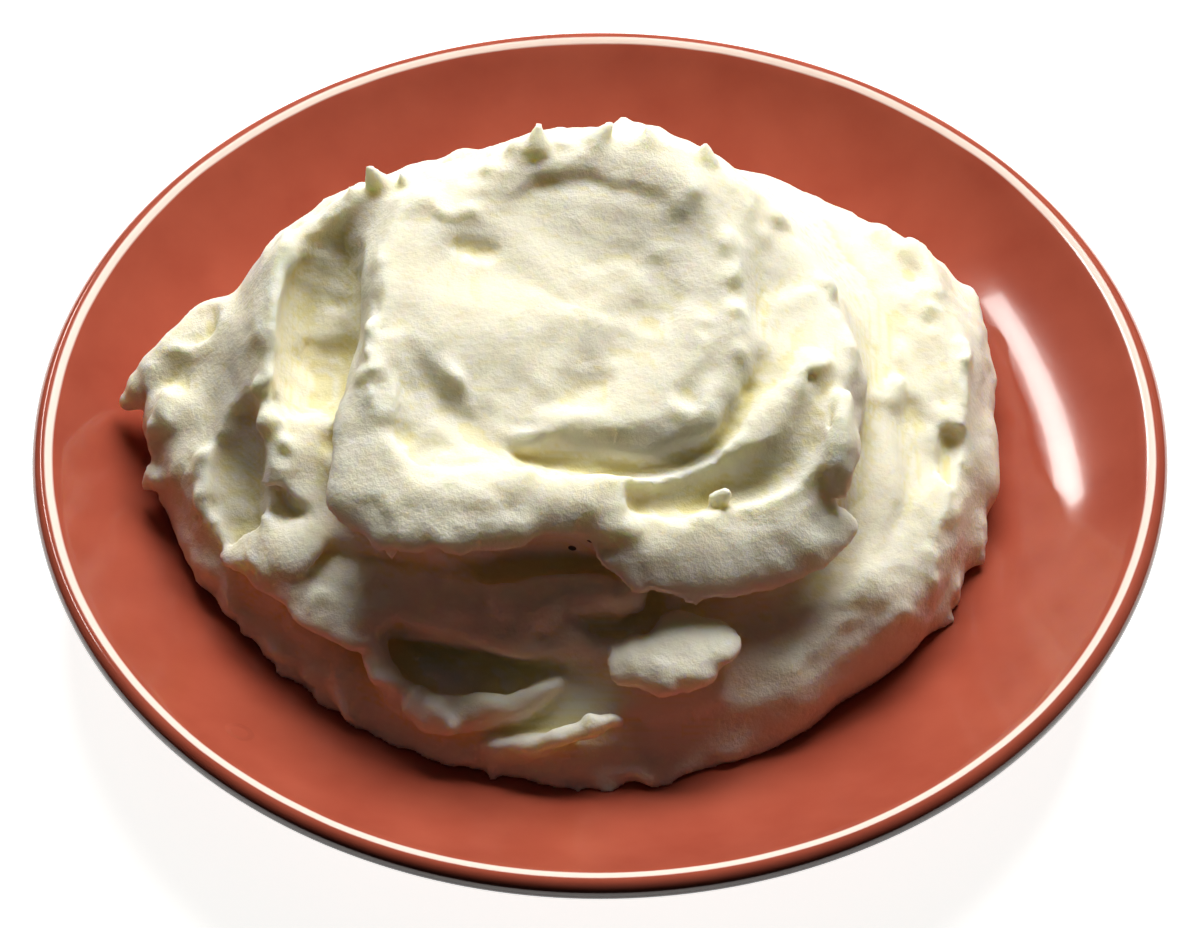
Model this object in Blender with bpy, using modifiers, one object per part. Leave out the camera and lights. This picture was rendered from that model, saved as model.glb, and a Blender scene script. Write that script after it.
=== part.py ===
"""Mashed potato heaped on a small coupe plate.

The origin is under the middle of the plate's foot ring, +Z is up, and the hooked front of the heap faces -Y.
Lengths are written in millimetres and turned into metres as each mesh is made.
"""

import bpy
import numpy as np
import openvdb

MM = 0.001
OBJECT_NAME = "mashed_potato_side"

# ---- Plate
PLATE_RADIUS = 85.0
PLATE_HEIGHT = 20.3
FLOOR_TOP = 6.5  # top of the flat floor
FLOOR_RADIUS = 46.0  # where the floor starts to curve up
CREST_RADIUS = 82.0  # where the curve ends and the rim begins
CREST_HEIGHT = 20.0
BODY_THICKNESS = 4.3
FOOT_OUTER = 49.0
FOOT_INNER = 45.0
FOOT_HEIGHT = 2.1  # depth of the recess inside the foot ring
PLATE_STEPS = 64

# ---- Mash
HEAP_AXIS = (-3.0, 2.0)  # the heap sits a little off the middle of the plate
GAP = 0.35  # clearance between the mash and the plate
GRID_STEP = 1.1
GRID_LOW = (-78.0, -66.0, 3.0)
GRID_HIGH = (70.0, 70.0, 60.0)
MASH_TRIANGLES = 6800

# Half sections of the heap round its axis: azimuth in degrees, 0 along +X and 270 towards the front, then
# (radius, height) pairs running from the middle out and down. The points mean the same in each section:
# middle, crater foot, dollop edge, crease, ring crest, ring lip, undercut, ledge, ledge edge, lower hollow,
# lowest crest, widest point, foot.
SECTIONS = {
    0: [(0, 43), (13, 43.5), (25, 46.5), (29, 41.5), (40.5, 39.5), (43, 33), (45, 28.5),
        (50, 26.5), (57.5, 26), (61, 19), (63.5, 14), (63.5, 10.5), (62, 6)],
    30: [(0, 43), (13, 44), (25, 50), (30, 47.5), (36.5, 42.5), (41, 35), (45, 29.5),
         (50, 27.5), (58, 27.5), (62.5, 22), (65.5, 17), (66, 12), (64, 6)],
    60: [(0, 43), (12, 44), (25, 52), (30, 51.5), (34.5, 48), (40, 40), (44, 34),
         (49, 29), (54.5, 24), (58, 18), (60.5, 13), (61, 10), (60, 6)],
    90: [(0, 43), (11, 44), (24, 52.5), (28, 53), (32, 50), (39, 42), (45, 34),
         (50, 28), (54, 22), (57, 17), (60, 12.5), (60.5, 10), (59.5, 6)],
    125: [(0, 43), (13, 44), (24, 49.5), (29, 50), (34, 48), (41, 41), (47, 35),
          (52, 29), (56, 23), (58.5, 17), (60.5, 12.5), (61, 10), (60, 6)],
    143: [(0, 43), (14, 44), (24, 47.5), (27, 47.3), (30, 47.3), (34, 46.5), (37.5, 46),
          (41.5, 46.5), (49, 38), (57, 27), (61, 16), (62, 10), (60.5, 6)],
    160: [(0, 43), (15, 44), (24, 46), (27, 46), (29.5, 46), (34, 38.5), (38.5, 36),
          (45.5, 43.5), (53, 36.5), (60, 27), (62, 16), (62, 11), (61, 6)],
    180: [(0, 43), (15, 44), (23, 45), (26, 45), (29, 45), (34.5, 34), (38.5, 31.5),
          (46.5, 38.5), (54, 30), (61, 22), (64, 15), (63.5, 11), (61.5, 6)],
    200: [(0, 43), (14, 43.5), (23, 44), (27, 43), (33.5, 43.5), (37.5, 34), (41.5, 31),
          (47.5, 31.3), (52.5, 26), (59.5, 20.5), (62.5, 13), (62.5, 10.5), (61, 6)],
    213: [(0, 43), (13, 43), (22, 42.5), (26, 40.5), (36, 41), (42, 37), (42.5, 30),
          (47, 26.5), (56, 21), (54.5, 16), (60, 12.5), (60.5, 10), (59, 6)],
    234: [(0, 43), (10, 42.5), (20.5, 41.5), (25.5, 39.2), (34, 39.8), (46.3, 34.5), (42, 28),
          (46, 23.5), (52.5, 19), (49, 15), (54.5, 14.5), (59.5, 9.5), (58.5, 6)],
    252: [(0, 43), (9, 42.5), (20, 41), (25, 38.2), (30.5, 38.8), (39.8, 34.8), (36.5, 27.5),
          (41, 23.3), (47, 19.5), (44, 15.5), (54, 14.5), (60, 9.5), (58.5, 6)],
    273: [(0, 43), (8, 42), (19.5, 40.5), (24.5, 37.2), (28.5, 38.2), (36.3, 34.8), (34, 27),
          (38, 23.5), (43, 21), (45, 18), (51, 13.5), (60.5, 8.5), (60, 6)],
    300: [(0, 43), (8, 42), (21.5, 41.5), (26.5, 38), (31.5, 37), (45, 28.5), (43, 24.5),
          (47, 21), (53, 18), (57.5, 16), (59.5, 13), (60, 10), (59, 6)],
    330: [(0, 43), (10, 42.5), (24.5, 44), (29.5, 40), (41.5, 38.5), (47, 31.5), (46.5, 28),
          (51, 24.5), (57, 21.5), (60.3, 18), (61, 14), (61, 10), (59.5, 6)],
}
SHARPNESS = (0, 0, 0.3, 0, 0.2, 0.9, 0, 0.5, 0.9, 0, 0.6, 0, 0)  # how crisply a section turns at each point

# Strokes that finish the heap, in order. A fold lays on a roll of mash, a leaf lays on a thin torn flap that
# droops outward, and a carve draws a spoon through it. The second value is the softness of the join for a
# fold, the fall of a leaf for each millimetre outward, and the depth of the streaks for a carve. Each runs
# through points of (azimuth, radius, height, thickness), where the thickness of a leaf is half its width.
STROKES = [
    # points at the left edge
    ("fold", 4, [(170, 57, 24, 6), (174.5, 63.5, 20.5, 4.5), (176.5, 69, 16.5, 2)]),
    ("fold", 3, [(182, 60, 19, 6), (178.5, 66, 16.5, 3)]),
    ("fold", 3, [(189, 59, 15.5, 6), (189, 65.5, 14.5, 2)]),
    # long trough down the right side
    ("carve", 0.5, [(24, 51, 38, 9), (8, 53.5, 35, 9), (-10, 55, 32.5, 9)]),
    ("carve", 0.5, [(-8, 55, 32.5, 9), (-30, 57.5, 30, 9), (-60, 57, 25.5, 8)]),
    ("carve", 0.4, [(20, 48, 37, 6), (-10, 49.5, 33, 6), (-45, 50.5, 27.5, 6)]),
    ("carve", 0.2, [(17, 47, 33.5, 4), (13, 51, 31, 4)]),
    ("carve", 0.2, [(4, 52.5, 29, 2.5), (-2, 54.5, 26.5, 2.5)]),
    ("carve", 0.2, [(352, 57, 24, 3), (345, 57.5, 22.5, 2)]),
    # trough down the left side, the step at its end, and the scoops outside it
    ("carve", 0.25, [(161, 37, 41.5, 5), (172, 38.3, 39, 6.5), (192, 41.5, 36.5, 6)]),
    ("carve", 0.2, [(193, 53.5, 31.5, 5.5), (202, 55.5, 26, 6.5), (208, 56.5, 22.5, 5)]),
    ("carve", 0.2, [(204, 49.5, 26.5, 2.5), (214, 49, 27, 3)]),
    ("carve", 0.2, [(160, 59, 37, 5), (172, 60, 31, 5)]),
    # lip of the upper ring, and the undercut below it
    ("leaf", 0.5, [(207, 34.5, 41, 3), (215, 38.5, 39.3, 4.2), (223, 41.3, 37.5, 5)]),
    ("leaf", 0.5, [(221, 41, 37.8, 5), (228, 42, 36.8, 5.4), (236, 41.8, 36.7, 5.5)]),
    ("leaf", 0.5, [(234, 41.8, 36.7, 5.5), (252, 35.7, 36.8, 5.2), (274, 32.2, 36.6, 4.8)]),
    ("carve", 0.2, [(222, 50, 26.5, 5), (240, 46, 26, 5.5), (258, 41, 25.8, 5.2)]),
    ("carve", 0.2, [(258, 41, 25.8, 5.2), (274, 38.5, 26, 4.6), (286, 41.5, 25, 3.5)]),
    ("fold", 3, [(254, 41, 20.5, 3), (270, 38, 23.5, 3.5), (282, 39, 24.5, 3)]),
    # torn leaf on the left end of the ledge
    ("leaf", 0.5, [(216, 50, 24.5, 3.5), (211, 54, 21.5, 2.5), (209, 57.5, 18.5, 1.3)]),
    ("leaf", 0.5, [(212, 54.5, 19.5, 3), (222, 52, 20.5, 5), (240, 46.5, 21.5, 5)]),
    ("leaf", 0.5, [(239, 46.7, 21.5, 5), (254, 43, 21.5, 3.5), (266, 40.5, 22, 1.5)]),
    # hollow under the ledge, and the hooked lip beyond it
    ("carve", 0.2, [(214, 60, 16, 4), (226, 58, 16.5, 4), (236, 56.5, 18, 3)]),
    ("carve", 0.2, [(240, 51, 19.5, 2.5), (250, 50.3, 20, 3), (266, 47.5, 21, 3)]),
    ("carve", 0.2, [(240, 61, 16, 3.5), (262, 58.8, 18.5, 4)]),
    ("fold", 1.5, [(235.5, 51.5, 17, 1.8), (243, 55.5, 15, 2.6), (254, 54, 14.5, 2.8)]),
    ("fold", 1.5, [(253, 54.2, 14.5, 2.8), (260, 51.5, 15.5, 2), (266, 48.5, 17, 1)]),
    # crest, concave facet and torn flap at the right front
    ("leaf", 0.7, [(280, 36.3, 32.5, 4.5), (291, 39.7, 31.5, 5.5), (304, 42, 31.2, 5.5)]),
    ("leaf", 0.7, [(302, 42, 31.2, 5.5), (311, 43.7, 31.2, 5.5), (320, 45.5, 31.3, 5)]),
    ("leaf", 0.7, [(289, 41, 30.3, 4), (291.5, 44.3, 28, 2.5)]),
    ("fold", 1.2, [(276, 29, 37.8, 1.4), (294, 28.5, 37.4, 1.5), (320, 30.5, 37.8, 1.8)]),
    ("fold", 1.2, [(318, 30.5, 37.8, 1.8), (333, 33, 38.5, 2.2), (346, 37, 39, 2.5)]),
    ("carve", 0.1, [(286, 32.5, 37, 2.2), (300, 34.2, 38, 4), (316, 36.5, 38.5, 4.5)]),
    ("carve", 0.1, [(314, 36.5, 38.5, 4.5), (324, 38.5, 40, 4.5), (334, 39, 42.5, 4)]),
    ("fold", 1.5, [(340, 42, 39.5, 1.4), (333, 43, 38, 1.8), (326, 46, 34.5, 1.8)]),
    ("carve", 0, [(337, 40.6, 40.5, 1), (329, 42.5, 37.2, 0.9)]),
    ("fold", 0.8, [(303, 34, 34.8, 0.9), (306, 35.5, 35.6, 0.7)]),
    ("carve", 0, [(346, 35.5, 42, 1.1), (338, 37.3, 41, 1)]),
    # tongue, low front crest and its tooth
    ("leaf", 0.25, [(279.5, 48.8, 20, 3), (285, 49.3, 21, 4.4), (290, 49.6, 22, 5)]),
    ("leaf", 0.25, [(288, 49, 22, 4.5), (294, 50, 22.8, 3.6)]),
    ("fold", 2, [(258, 57.5, 11.5, 1.8), (268, 55.5, 14, 1.8), (277, 53.5, 15, 1)]),
    # crater, and the crease round the dollop
    ("carve", 0, [(110, 8, 54, 9), (75, 9, 54, 9), (40, 11, 54.5, 9)]),
    ("carve", 0.2, [(276, 13, 46.6, 6), (276, 15, 46.4, 6)]),
    ("fold", 1, [(262, 18, 38.8, 3), (255, 18.5, 38.8, 3)]),
    ("carve", 0.2, [(14, 23.5, 51.5, 4), (-15, 24, 49, 4), (-45, 22.5, 45.5, 4)]),
    ("carve", 0.1, [(208, 27.5, 44.5, 2), (235, 26, 40.8, 1.7), (268, 25, 38.9, 1.6)]),
    ("carve", 0.1, [(268, 25, 38.9, 1.6), (308, 28, 39, 1.6), (352, 29.5, 44, 2)]),
    ("carve", 0, [(143, 16.5, 46, 2.2), (148, 19, 46.5, 2)]),
    # lobes at the right foot
    ("fold", 2, [(359, 59, 15, 4), (352, 60.5, 13, 3.5)]),
    ("fold", 2, [(345, 59, 11, 4), (342, 60, 10, 3)]),
    ("fold", 2, [(334, 60.5, 9.5, 3.5), (331, 60.5, 9, 3)]),
]

# Small torn peaks and teeth, laid on last, each through points of (azimuth, radius, height, thickness).
PEAKS = [
    # skyline
    [(139, 37, 44.5, 3), (140.5, 38.7, 46.8, 2), (141, 39.5, 49, 0.6)],
    [(137, 35, 45.5, 2.5), (137.5, 36, 47.5, 1.6), (138, 36.5, 49.2, 0.5)],
    [(102, 27.5, 51.5, 2), (101, 29, 54.2, 0.5)],
    [(84, 27.5, 52, 2), (81, 29, 54.3, 0.7)],
    [(68, 28, 51.5, 2), (70, 29.3, 53.8, 0.6)],
    [(52, 31, 49.5, 2), (54.5, 32, 52, 0.6)],
    # right ridge and ring lip
    [(333.5, 43, 37.6, 1.6), (332.5, 45.4, 36.6, 0.5)],
    [(233.5, 45, 34, 1.6), (234.5, 46.5, 31.5, 0.6)],
    # low front crest and lobe
    [(258, 57.5, 11.5, 1.8), (258.5, 59.5, 10, 1.2), (259, 61, 8, 0.5)],
    [(232, 56, 12, 2.5), (235.5, 59.5, 10.8, 1)],
]
LEAF_THINNESS = 3.2  # width of a leaf for its thickness

SLICE_ANGLE = 3.0  # degrees between the slices that the sections are worked out on
SLICE_RADII = np.arange(0, 92.0)
SLICE_HEIGHTS = np.arange(0, 62.0)


def clear_scene():
    for item in list(bpy.data.objects):
        bpy.data.objects.remove(item, do_unlink=True)


def add_collection(name):
    collection = bpy.data.collections.new(name)
    bpy.context.scene.collection.children.link(collection)
    return collection


def add_object(name, points, edges, faces, material, collection):
    """An object from points in millimetres."""
    mesh = bpy.data.meshes.new(name)
    mesh.from_pydata([tuple(float(v) * MM for v in point) for point in points], edges, faces)
    mesh.materials.append(material)
    item = bpy.data.objects.new(name, mesh)
    collection.objects.link(item)
    return item


def add_material(name, colour, roughness):
    material = bpy.data.materials.new(name)
    material.use_nodes = True
    shader = material.node_tree.nodes["Principled BSDF"]
    shader.inputs["Base Color"].default_value = (*colour, 1.0)
    shader.inputs["Roughness"].default_value = roughness
    material.diffuse_color = (*colour, 1.0)
    return material


# ---- Plate


def plate_top(radius):
    """Height of the plate's upper face between its middle and its rim."""
    rise = np.clip((radius - FLOOR_RADIUS) / (CREST_RADIUS - FLOOR_RADIUS), 0.0, None)
    return FLOOR_TOP + (CREST_HEIGHT - FLOOR_TOP) * rise**2


def plate_profile():
    """Half section of the plate as (radius, height), from the middle of its top out over the rim."""
    wall = [(r, plate_top(r)) for r in np.linspace(FLOOR_RADIUS, CREST_RADIUS, 9)]
    rim = [
        (CREST_RADIUS + 1.2, PLATE_HEIGHT),
        (PLATE_RADIUS - 0.5, PLATE_HEIGHT - 0.6),
        (PLATE_RADIUS, PLATE_HEIGHT - 1.7),
        (PLATE_RADIUS - 0.5, PLATE_HEIGHT - 2.9),
    ]
    underside = [(r + 1.0, plate_top(r) - BODY_THICKNESS) for r in np.linspace(79.0, FOOT_OUTER + 2.0, 6)]
    foot = [
        (FOOT_OUTER, 0.6),
        (FOOT_OUTER - 0.6, 0.0),
        (FOOT_INNER + 0.6, 0.0),
        (FOOT_INNER, 0.6),
        (FOOT_INNER - 0.9, FOOT_HEIGHT),
    ]
    return [(0.0, FLOOR_TOP)] + wall + rim + underside + foot + [(0.0, FOOT_HEIGHT)]


def build_plate(material, collection):
    profile = plate_profile()
    points = [(radius, 0.0, height) for radius, height in profile]
    edges = [(i, i + 1) for i in range(len(profile) - 1)]
    plate = add_object("plate", points, edges, [], material, collection)
    turn = plate.modifiers.new("turn", "SCREW")
    turn.axis = "Z"
    turn.steps = PLATE_STEPS
    turn.render_steps = PLATE_STEPS
    turn.use_merge_vertices = True
    turn.merge_threshold = 0.00001
    turn.use_smooth_shade = True
    return plate


# ---- Mash


def smooth_min(a, b, width):
    overlap = np.maximum(width - np.abs(a - b), 0) / width
    return np.minimum(a, b) - overlap * overlap * width / 4


def in_space(azimuth, radius, height):
    angle = np.radians(azimuth)
    x = HEAP_AXIS[0] + radius * np.cos(angle)
    y = HEAP_AXIS[1] + radius * np.sin(angle)
    return np.stack([x, y, height], -1)


def sweep_line(points, spacing=3.0):
    """Rows of x, y, z and thickness along a smooth line through a stroke's points."""
    points = np.array(points, float)
    legs = np.linalg.norm(np.diff(in_space(*points[:, :3].T), axis=0), axis=1)
    along = np.concatenate([[0.0], np.cumsum(legs)]) / legs.sum()
    at = np.linspace(0.0, 1.0, max(2, int(legs.sum() / spacing) + 1))
    order = len(points) - 1
    azimuth, radius, height, thickness = (np.polyval(np.polyfit(along, c, order), at) for c in points.T)
    return np.column_stack([in_space(azimuth, radius, height), thickness])


def value_noise(u, v, seed, cells=64):
    """Smooth two-way noise with a feature for each unit of u and of v."""
    table = np.random.default_rng(seed).uniform(-1, 1, (cells, cells))
    i, j = np.floor(u).astype(int), np.floor(v).astype(int)
    a, b = u - i, v - j
    a, b = a * a * (3 - 2 * a), b * b * (3 - 2 * b)
    i, j, i1, j1 = i % cells, j % cells, (i + 1) % cells, (j + 1) % cells
    near = table[i, j] * (1 - a) + table[i1, j] * a
    far = table[i, j1] * (1 - a) + table[i1, j1] * a
    return near * (1 - b) + far * b


class Heap:
    """A field on a grid, in millimetres: the distance to the mash's surface, negative inside."""

    def __init__(self, step):
        self.step = step
        self.axes = [np.arange(a, b + step, step) for a, b in zip(GRID_LOW, GRID_HIGH)]
        x, y, z = np.meshgrid(*self.axes, indexing="ij")
        self.plain = x, y, z
        drift = [
            1.5 * self.noise(17, seed) + 0.8 * self.noise(8, seed + 10) + 0.25 * self.noise(4, seed + 20)
            for seed in (1, 2, 3)
        ]
        self.x, self.y, self.z = x + drift[0], y + drift[1], z + 0.8 * drift[2]
        dx, dy = self.x - HEAP_AXIS[0], self.y - HEAP_AXIS[1]
        turn = (np.degrees(np.arctan2(dy, dx)) % 360) / SLICE_ANGLE
        self.polar = turn, np.hypot(dx, dy), self.z
        self.field = None

    def noise(self, size, seed):
        """Smooth noise with features of the given size."""
        weights = [spline_weights((axis - axis[0]) / size + 1) for axis in self.axes]
        lattice = np.random.default_rng(seed).uniform(-1, 1, [w.shape[1] for w in weights])
        return 2.2 * np.einsum("ai,bj,ck,ijk->abc", *weights, lattice, optimize=True)

    def streaks(self, turn, size, seed):
        """Smooth noise drawn out round the heap, by the given turn in degrees, the way the spoon went."""
        weights = [
            spline_weights(np.arange(0, 360 + SLICE_ANGLE, SLICE_ANGLE) / turn + 1),
            spline_weights(SLICE_RADII / size + 1),
            spline_weights(SLICE_HEIGHTS / size + 1),
        ]
        lattice = np.random.default_rng(seed).uniform(-1, 1, [w.shape[1] for w in weights])
        lattice = lattice[np.arange(len(lattice)) % round(360 / turn)]
        table = 2.2 * np.einsum("ai,bj,ck,ijk->abc", *weights, lattice, optimize=True)
        return sample(table, *self.polar)

    def lay_sections(self, ease=10):
        """The body of the heap, drawn through the half sections."""
        azimuths = np.array(sorted(SECTIONS), float)
        points = np.array([SECTIONS[a] for a in sorted(SECTIONS)], float)
        around = np.concatenate([azimuths[-3:] - 360, azimuths, azimuths[:3] + 360])
        points = np.concatenate([points[-3:], points, points[:3]])
        degrees = np.arange(-60, 420)
        window = np.hanning(2 * ease + 1)
        window /= window.sum()
        slices = []
        for angle in np.arange(0, 360, SLICE_ANGLE):
            weights = np.interp(degrees, np.arange(angle - ease, angle + ease + 1), window, left=0, right=0)
            section = np.array(
                [
                    [weights @ np.interp(degrees, around, points[:, n, k]) for k in (0, 1)]
                    for n in range(points.shape[1])
                ]
            )
            slices.append(section_distance(section, SLICE_RADII, SLICE_HEIGHTS))
        slices.append(slices[0])
        self.field = sample(np.array(slices), *self.polar)

    def box_of(self, line, margin):
        low = (line[:, :3] - line[:, 3:]).min(0) - margin
        high = (line[:, :3] + line[:, 3:]).max(0) + margin
        ends = [np.searchsorted(axis, pair) for axis, pair in zip(self.axes, zip(low, high))]
        return tuple(slice(int(i), int(j)) for i, j in ends)

    def tube(self, line, box, streak=0.0, seed=0, thinness=1.0, droop=0.0):
        """Distance to a tapering tube, streaked along its length, or flattened and drooping outward."""
        x, y, z = self.x[box], self.y[box], self.z[box]
        best = np.full(x.shape, 1e3)
        across, along = np.zeros(x.shape), np.zeros(x.shape)
        start = 0.0
        for p, q in zip(line[:-1], line[1:]):
            d = (q - p)[:3]
            length = np.linalg.norm(d)
            t = np.clip(((x - p[0]) * d[0] + (y - p[1]) * d[1] + (z - p[2]) * d[2]) / length**2, 0, 1)
            rx, ry, rz = x - p[0] - t * d[0], y - p[1] - t * d[1], z - p[2] - t * d[2]
            thickness = p[3] + t * (q[3] - p[3])
            outward = (p[:2] + q[:2]) / 2 - HEAP_AXIS
            outward /= np.linalg.norm(outward)
            rz = (rz + droop * (rx * outward[0] + ry * outward[1])) * thinness
            distance = np.sqrt(rx * rx + ry * ry + rz * rz) - thickness
            angle = np.arctan2(rz, rx * outward[0] + ry * outward[1])
            nearer = distance < best
            across = np.where(nearer, angle * thickness, across)
            along = np.where(nearer, start + t * length, along)
            best = np.where(nearer, distance, best)
            start += length
        coarse = value_noise(across / 3.0, along / 22, seed + 40)
        fine = value_noise(across / 1.3, along / 12, seed + 60)
        return best + streak * (coarse + 0.6 * fine)

    def fold(self, points, blend):
        line = sweep_line(points)
        box = self.box_of(line, 5 + blend)
        self.field[box] = smooth_min(self.field[box], self.tube(line, box), blend)

    def leaf(self, points, droop, blend=1.2):
        line = sweep_line(points)
        box = self.box_of(line, 4)
        flap = self.tube(line, box, thinness=LEAF_THINNESS, droop=droop)
        self.field[box] = smooth_min(self.field[box], flap, blend)

    def carve(self, points, streak, seed, blend=0.6):
        line = sweep_line(points)
        box = self.box_of(line, 4)
        self.field[box] = -smooth_min(-self.field[box], self.tube(line, box, streak, seed), blend)

    def crests(self):
        """How sharply the surface turns outward, from 0 to 1."""
        soft = np.clip(self.field, -6, 6)
        reach = max(1, round(1.6 / self.step))
        for axis in (0, 0, 1, 1, 2, 2):
            shifted = [np.roll(soft, k, axis) for k in range(-reach, reach + 1)]
            soft = sum(shifted) / len(shifted)
        bend = sum(np.roll(soft, k, axis) for axis in range(3) for k in (-1, 1)) - 6 * soft
        return np.clip((bend / self.step**2 - 0.09) / 0.18, 0, 1)

    def roughen(self):
        """Tears the crests and leaves the spooned hollows smooth."""
        lumps, crumbs, swell = self.noise(3.2, 31), self.noise(1.5, 32), self.noise(6.5, 33)
        calm = np.clip(self.polar[1] / 25, 0.25, 1) * np.clip((self.z - 6) / 14, 0.2, 1)
        layers = self.streaks(30, 6, 34) + 0.35 * lumps + 0.12 * crumbs
        step = np.clip(0.5 + 2.2 * layers, 0, 1)
        step = step * step * (3 - 2 * step)
        lines = self.streaks(24, 2.0, 35)
        self.field -= calm * (0.9 * step - 0.4 + 0.35 * lines + 0.12 * lumps + 0.2 * swell)
        self.field -= 0.12 * crumbs
        self.field -= self.crests() * (0.45 * lumps + 0.9 * crumbs)

    def rest_on_plate(self):
        x, y, z = self.plain
        self.field = np.maximum(self.field, plate_top(np.hypot(x, y)) + GAP - z)

    def surface(self):
        """Points and faces where the field is 0."""
        grid = openvdb.FloatGrid(8.0)
        grid.copyFromArray(np.ascontiguousarray(np.clip(self.field, -8, 8), dtype=np.float32))
        points, quads = grid.convertToQuads(isovalue=0.0)
        return largest_shell(points * self.step + GRID_LOW, quads)


def largest_shell(points, quads):
    """The largest connected shell, without loose crumbs and sealed bubbles."""
    label = np.arange(len(points))
    settled = False
    while not settled:
        lower = label.copy()
        np.minimum.at(lower, quads.ravel(), np.repeat(label[quads].min(1), 4))
        lower = lower[lower]
        settled = np.array_equal(lower, label)
        label = lower
    shell = label[quads[:, 0]]
    quads = quads[shell == np.bincount(shell).argmax()]
    used, corners = np.unique(quads, return_inverse=True)
    return points[used], corners.reshape(-1, 4)


def spline_weights(places):
    """Weights of the whole numbers round each place, for a cubic spline through noise."""
    d = np.abs(places[:, None] - np.arange(int(places[-1]) + 4))
    inner = 2 / 3 - d * d + d**3 / 2
    outer = (2 - d) ** 3 / 6
    return np.where(d < 1, inner, np.where(d < 2, outer, 0))


def section_distance(section, radius, height):
    """Distance from each grid point to a half section, negative inside."""
    tangents = np.zeros_like(section)
    tangents[1:-1] = (section[2:] - section[:-2]) / 2 * (1 - np.array(SHARPNESS)[1:-1, None])
    tangents[0] = (section[1] - section[0]) * (1, 0)
    tangents[-1] = section[-1] - section[-2]
    t = np.linspace(0, 1, 7)[:-1, None]
    curve = [(-5.0, section[0][1])]
    for a, b, ta, tb in zip(section[:-1], section[1:], tangents[:-1], tangents[1:]):
        length = np.linalg.norm(b - a)
        ta = ta * min(1, length / max(1e-6, np.linalg.norm(ta)))
        tb = tb * min(1, length / max(1e-6, np.linalg.norm(tb)))
        leg = (2 * t**3 - 3 * t**2 + 1) * a + (t**3 - 2 * t**2 + t) * ta
        curve.extend(leg + (3 * t**2 - 2 * t**3) * b + (t**3 - t**2) * tb)
    curve.extend([section[-1], (section[-1][0], -8.0)])
    r, z = np.meshgrid(radius, height, indexing="ij")
    best = np.full(r.shape, 1e3)
    above = np.zeros(r.shape, int)
    for a, b in zip(curve[:-1], curve[1:]):
        dr, dz = b[0] - a[0], b[1] - a[1]
        t = np.clip(((r - a[0]) * dr + (z - a[1]) * dz) / max(1e-9, dr * dr + dz * dz), 0, 1)
        best = np.minimum(best, np.hypot(r - a[0] - t * dr, z - a[1] - t * dz))
        crosses = (a[0] <= r) != (b[0] <= r)
        above += crosses & (a[1] + (r - a[0]) / (dr or 1e-9) * dz > z)
    return np.where(above % 2 == 1, -best, best)


def sample(table, turn, radius, height):
    """The table's value between its entries, at each place of the grid."""
    place = []
    for value, size in zip((turn, radius, height), table.shape):
        value = np.clip(value, 0, size - 1.001)
        place.append((value.astype(int), value - value.astype(int)))
    (i, a), (j, b), (k, c) = place
    total = np.zeros(turn.shape)
    for di, wa in ((0, 1 - a), (1, a)):
        for dj, wb in ((0, 1 - b), (1, b)):
            for dk, wc in ((0, 1 - c), (1, c)):
                total += wa * wb * wc * table[i + di, j + dj, k + dk]
    return total


def build_mash(material, collection):
    heap = Heap(GRID_STEP)
    heap.lay_sections()
    for seed, (kind, amount, points) in enumerate(STROKES):
        if kind == "fold":
            heap.fold(points, blend=amount)
        elif kind == "leaf":
            heap.leaf(points, droop=amount)
        else:
            heap.carve(points, streak=amount, seed=seed)
    heap.roughen()
    for points in PEAKS:
        heap.fold(points, blend=1)
    heap.rest_on_plate()
    points, quads = heap.surface()
    mash = add_object("mash", points, [], quads.tolist(), material, collection)
    thin = mash.modifiers.new("thin", "DECIMATE")
    thin.ratio = MASH_TRIANGLES / (2 * len(quads))
    thin.use_collapse_triangulate = True
    return mash


def main():
    clear_scene()
    collection = add_collection(OBJECT_NAME)
    build_plate(add_material("terracotta_glaze", (0.40, 0.09, 0.05), 0.2), collection)
    build_mash(add_material("mashed_potato", (0.84, 0.79, 0.60), 0.6), collection)


main()
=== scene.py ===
"""Looks of the mashed potato side: a fine heap, a glazed plate, soft studio light and the camera."""

import math

import bpy
import numpy as np
import openvdb
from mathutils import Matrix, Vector


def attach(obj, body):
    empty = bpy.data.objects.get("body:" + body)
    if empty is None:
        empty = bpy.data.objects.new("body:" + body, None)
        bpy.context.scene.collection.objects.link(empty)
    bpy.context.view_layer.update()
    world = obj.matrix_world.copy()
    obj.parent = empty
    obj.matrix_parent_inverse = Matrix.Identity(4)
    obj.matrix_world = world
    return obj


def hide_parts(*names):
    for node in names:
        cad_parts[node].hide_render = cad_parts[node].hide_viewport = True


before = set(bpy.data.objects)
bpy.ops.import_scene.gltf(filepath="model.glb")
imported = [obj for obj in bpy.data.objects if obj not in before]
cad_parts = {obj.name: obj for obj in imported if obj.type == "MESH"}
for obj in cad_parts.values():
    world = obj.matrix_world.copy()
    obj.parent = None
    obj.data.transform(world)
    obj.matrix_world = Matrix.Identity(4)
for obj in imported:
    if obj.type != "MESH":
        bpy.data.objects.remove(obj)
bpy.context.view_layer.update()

MM = 0.001

# ---- Plate, in millimetres
PLATE_RADIUS = 85.0
PLATE_HEIGHT = 20.3
FLOOR_TOP = 6.5
FLOOR_RADIUS = 46.0
CREST_RADIUS = 82.0
CREST_HEIGHT = 20.0
BODY_THICKNESS = 4.3
FOOT_OUTER = 49.0
FOOT_INNER = 45.0
FOOT_HEIGHT = 2.1
PLATE_STEPS = 256
RIM_HIGHLIGHT_BAND = 6.0  # width of the band inside the edge that the painted highlight line is placed in
RIM_HIGHLIGHT_DEPTH = 1.6  # how far below the crest the painted highlight line may run
GLAZE_PIP = (-51.4, -53.9, 15.0)
GLAZE_PIP_RADIUS = 2.2

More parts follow.
